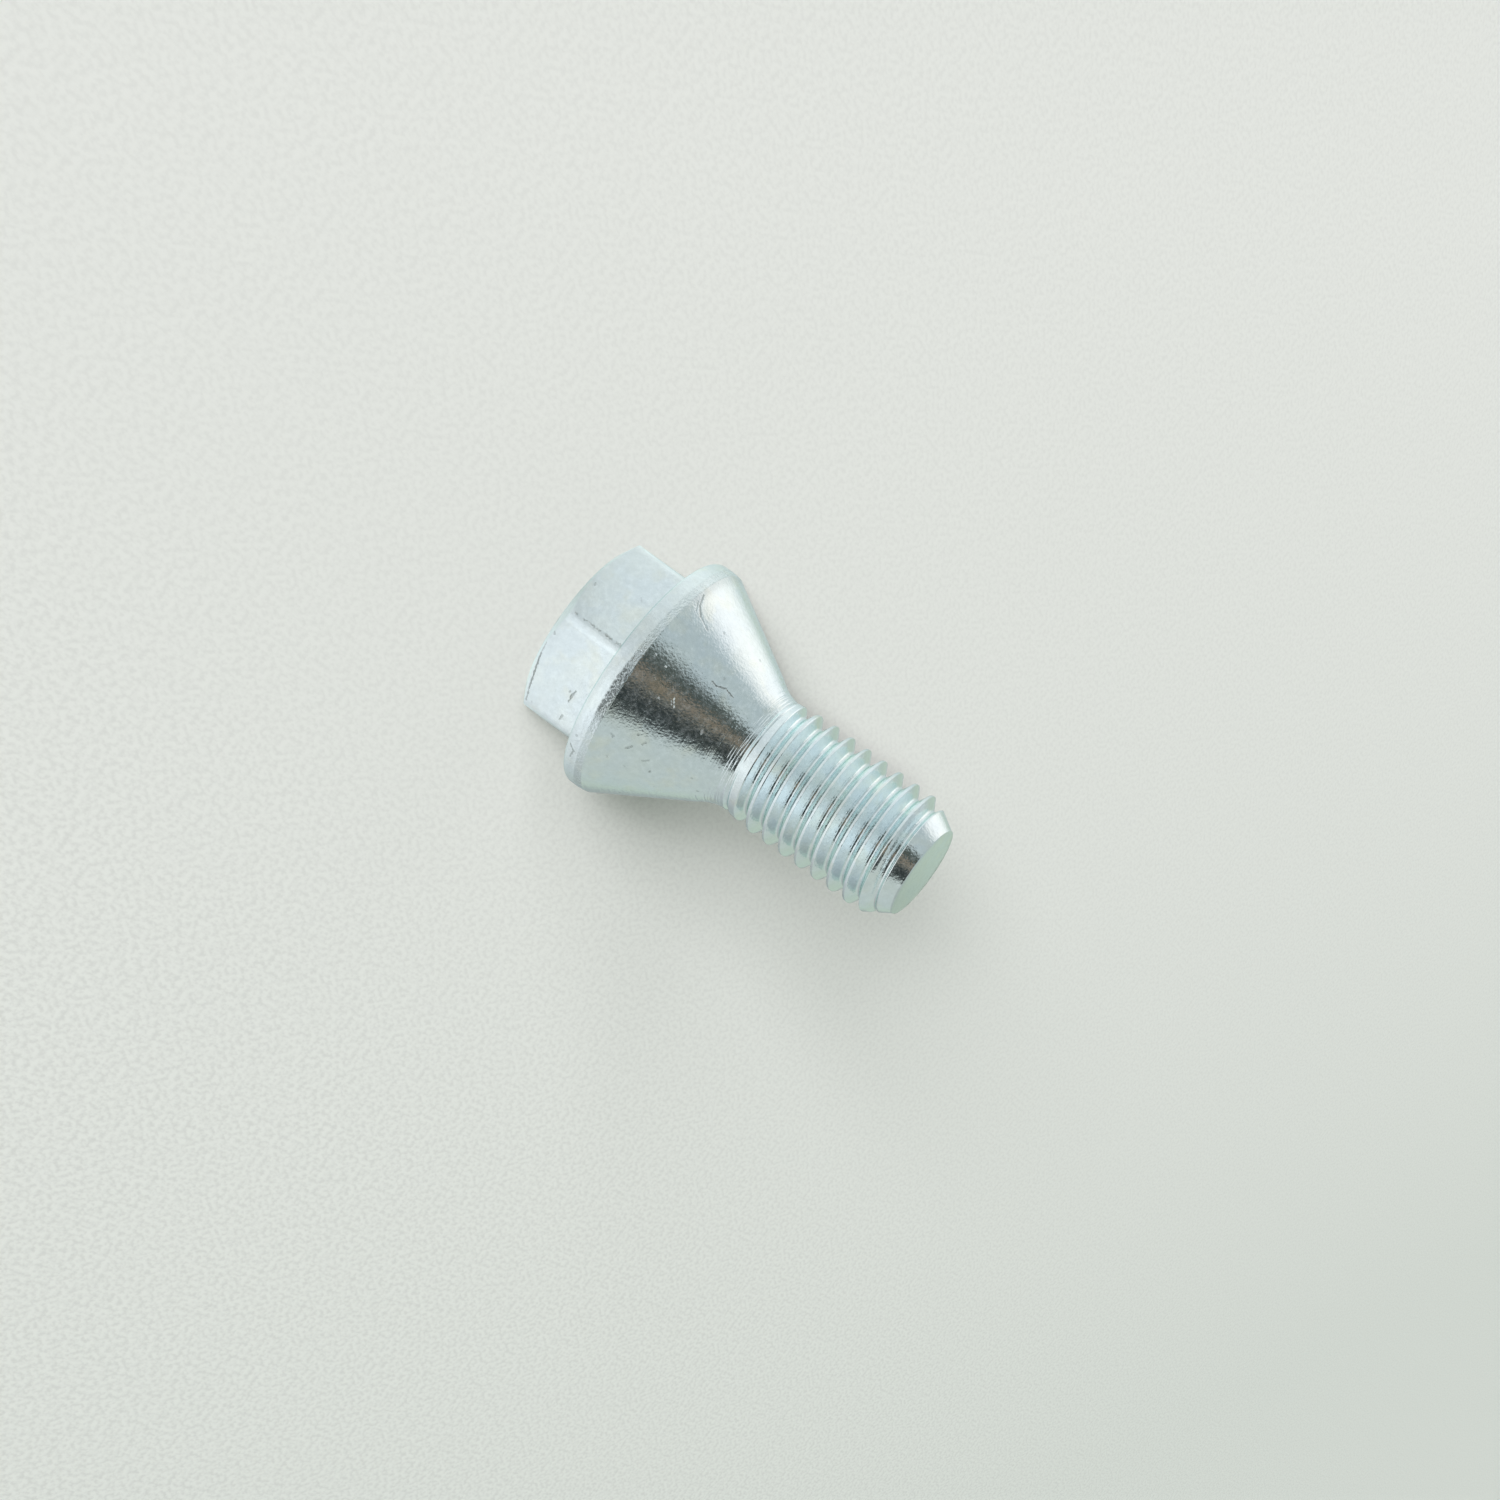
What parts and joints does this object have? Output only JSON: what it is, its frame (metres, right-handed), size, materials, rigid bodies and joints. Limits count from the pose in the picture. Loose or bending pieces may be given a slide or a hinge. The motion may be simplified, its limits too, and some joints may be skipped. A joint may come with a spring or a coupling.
{
  "type": "wheel bolt",
  "caption": "Steel wheel bolt with a hexagon head, a collar with a conical seat and a short coarse-threaded shank with a chamfered tip.",
  "frame": {"origin": "centre of the head's flat end face, which the bolt stands on", "axes": "+Z along the bolt's axis from the head to the threaded tip; two opposite corners of the hexagon lie on the Y axis"},
  "size_m": [0.023, 0.023, 0.0374],
  "materials": {
    "zinc_plated_steel": "bright zinc plating, clear passivated, satin with fine turning marks"
  },
  "bodies": {
    "root": {"wheel_bolt": "zinc_plated_steel"}
  },
  "joints": []
}
